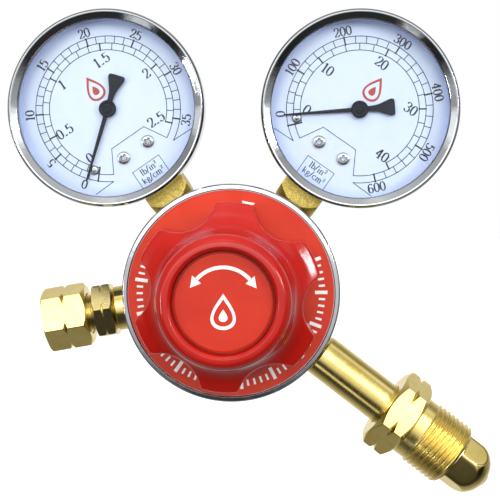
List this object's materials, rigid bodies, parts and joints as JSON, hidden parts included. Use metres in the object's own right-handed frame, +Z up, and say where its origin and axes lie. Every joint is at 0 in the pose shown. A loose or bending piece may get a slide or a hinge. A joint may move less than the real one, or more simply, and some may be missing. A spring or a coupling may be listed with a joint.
{
  "type": "gas regulator",
  "caption": "Single-stage gas pressure regulator with dial gauges, a lobed adjusting knob, a side hose outlet and a bullet-nosed inlet nipple with its nut.",
  "frame": {"origin": "centre of the inlet nose's seat, on the inlet's axis", "axes": "+Z up with the gauges at the top, -Y along the knob's axis towards the user, +X towards the inlet side"},
  "size_m": [0.1596, 0.0787, 0.1593],
  "materials": {
    "brass": "turned and milled, bright",
    "forged_brass": "forged and bead-blasted, satin",
    "chrome": "chrome plated, bright",
    "steel": "zinc plated",
    "knob_red": "moulded, glossy",
    "label_red": "printed label, satin gloss",
    "rubber": "matte",
    "dial": "matte printed enamel",
    "pointer_black": "matte black",
    "window": "clear, polished",
    "bronze": "phosphor bronze, dull"
  },
  "bodies": {
    "regulator": {"regulator_body": "forged_brass", "bonnet": "chrome", "bonnet_label": "label_red", "adjusting_spring": "steel", "diaphragm": "rubber", "slip_ring": "brass", "valve_nozzle": "brass", "valve_spring": "steel", "plug_washer": "bronze", "rear_plug": "brass", "inlet_nipple": "brass", "inlet_filter": "bronze", "outlet_adapter": "brass", "outlet_gauge_socket": "forged_brass", "outlet_gauge_case": "chrome", "outlet_gauge_bezel": "chrome", "outlet_gauge_window": "window", "outlet_dial": "dial", "outlet_movement_frame": "brass", "outlet_bourdon_tube": "bronze", "outlet_dial_screw_left": "steel", "outlet_dial_screw_right": "steel", "outlet_stop_pin": "steel", "inlet_gauge_socket": "forged_brass", "inlet_gauge_case": "chrome", "inlet_gauge_bezel": "chrome", "inlet_gauge_window": "window", "inlet_dial": "dial", "inlet_movement_frame": "brass", "inlet_bourdon_tube": "bronze", "inlet_dial_screw_left": "steel", "inlet_dial_screw_right": "steel", "inlet_stop_pin": "steel"},
    "spring_carriage": {"spring_button": "steel", "thrust_ball": "steel"},
    "knob": {"adjusting_knob": "knob_red", "knob_cap": "knob_red", "adjusting_screw": "steel"},
    "valve_train": {"diaphragm_plate": "brass", "valve_stem": "brass", "valve_seat": "rubber"},
    "inlet_nut": {"inlet_nut": "brass"},
    "outlet_nut": {"outlet_nut": "brass"},
    "outlet_pointer": {"outlet_pointer": "pointer_black", "outlet_pinion_shaft": "brass"},
    "outlet_sector": {"outlet_sector_gear": "brass"},
    "outlet_link": {"outlet_movement_link": "steel"},
    "inlet_pointer": {"inlet_pointer": "pointer_black", "inlet_pinion_shaft": "brass"},
    "inlet_sector": {"inlet_sector_gear": "brass"},
    "inlet_link": {"inlet_movement_link": "steel"}
  },
  "joints": [
    {"name": "screw_advance", "type": "slide", "parent": "regulator", "child": "spring_carriage", "axis": [0, 1, 0], "range_m": [0, 0.0045], "deforming": ["adjusting_spring"]},
    {"name": "knob_turn", "type": "hinge", "parent": "spring_carriage", "child": "knob", "pos_m": [-0.07886, -0.048, 0.05985], "axis": [0, 1, 0], "range_deg": [0, 1080]},
    {"name": "valve_lift", "type": "slide", "parent": "regulator", "child": "valve_train", "axis": [0, 1, 0], "range_m": [0, 0.0008], "stiffness_N_per_m": 1000, "deforming": ["valve_spring", "diaphragm", "adjusting_spring"]},
    {"name": "inlet_nut_spin", "type": "hinge", "parent": "regulator", "child": "inlet_nut", "pos_m": [-0.01673, 0, 0.0127], "axis": [0.7965, 0, -0.6046], "continuous": true},
    {"name": "outlet_nut_spin", "type": "hinge", "parent": "regulator", "child": "outlet_nut", "pos_m": [-0.13496, 0, 0.04976], "axis": [-0.9842, 0, -0.1771], "continuous": true},
    {"name": "outlet_pointer_swing", "type": "hinge", "parent": "regulator", "child": "outlet_pointer", "pos_m": [-0.11996, -0.01, 0.11921], "axis": [0, 1, 0], "range_deg": [0, 264], "stiffness_Nm_per_rad": 0.00005},
    {"name": "outlet_sector_swing", "type": "hinge", "parent": "regulator", "child": "outlet_sector", "pos_m": [-0.11227, -0.008, 0.10812], "axis": [0, 1, 0], "range_deg": [-33, 0], "deforming": ["outlet_bourdon_tube"]},
    {"name": "outlet_link_swing", "type": "hinge", "parent": "outlet_sector", "child": "outlet_link", "pos_m": [-0.10584, -0.0065, 0.11286], "axis": [0, 1, 0], "range_deg": [0, 33]},
    {"name": "inlet_pointer_swing", "type": "hinge", "parent": "regulator", "child": "inlet_pointer", "pos_m": [-0.03775, -0.01, 0.11921], "axis": [0, 1, 0], "range_deg": [0, 264], "stiffness_Nm_per_rad": 0.00005},
    {"name": "inlet_sector_swing", "type": "hinge", "parent": "regulator", "child": "inlet_sector", "pos_m": [-0.04544, -0.008, 0.10812], "axis": [0, 1, 0], "range_deg": [-33, 0], "deforming": ["inlet_bourdon_tube"]},
    {"name": "inlet_link_swing", "type": "hinge", "parent": "inlet_sector", "child": "inlet_link", "pos_m": [-0.03873, -0.0065, 0.10376], "axis": [0, 1, 0], "range_deg": [0, 33]}
  ],
  "couplings": [
    {"joint": "screw_advance", "follows": "knob_turn", "m_per_rad": 0.00023873},
    {"joint": "outlet_sector_swing", "follows": "outlet_pointer_swing", "ratio": -0.125},
    {"joint": "outlet_link_swing", "follows": "outlet_pointer_swing", "ratio": 0.125},
    {"joint": "inlet_sector_swing", "follows": "inlet_pointer_swing", "ratio": -0.125},
    {"joint": "inlet_link_swing", "follows": "inlet_pointer_swing", "ratio": 0.125}
  ]
}
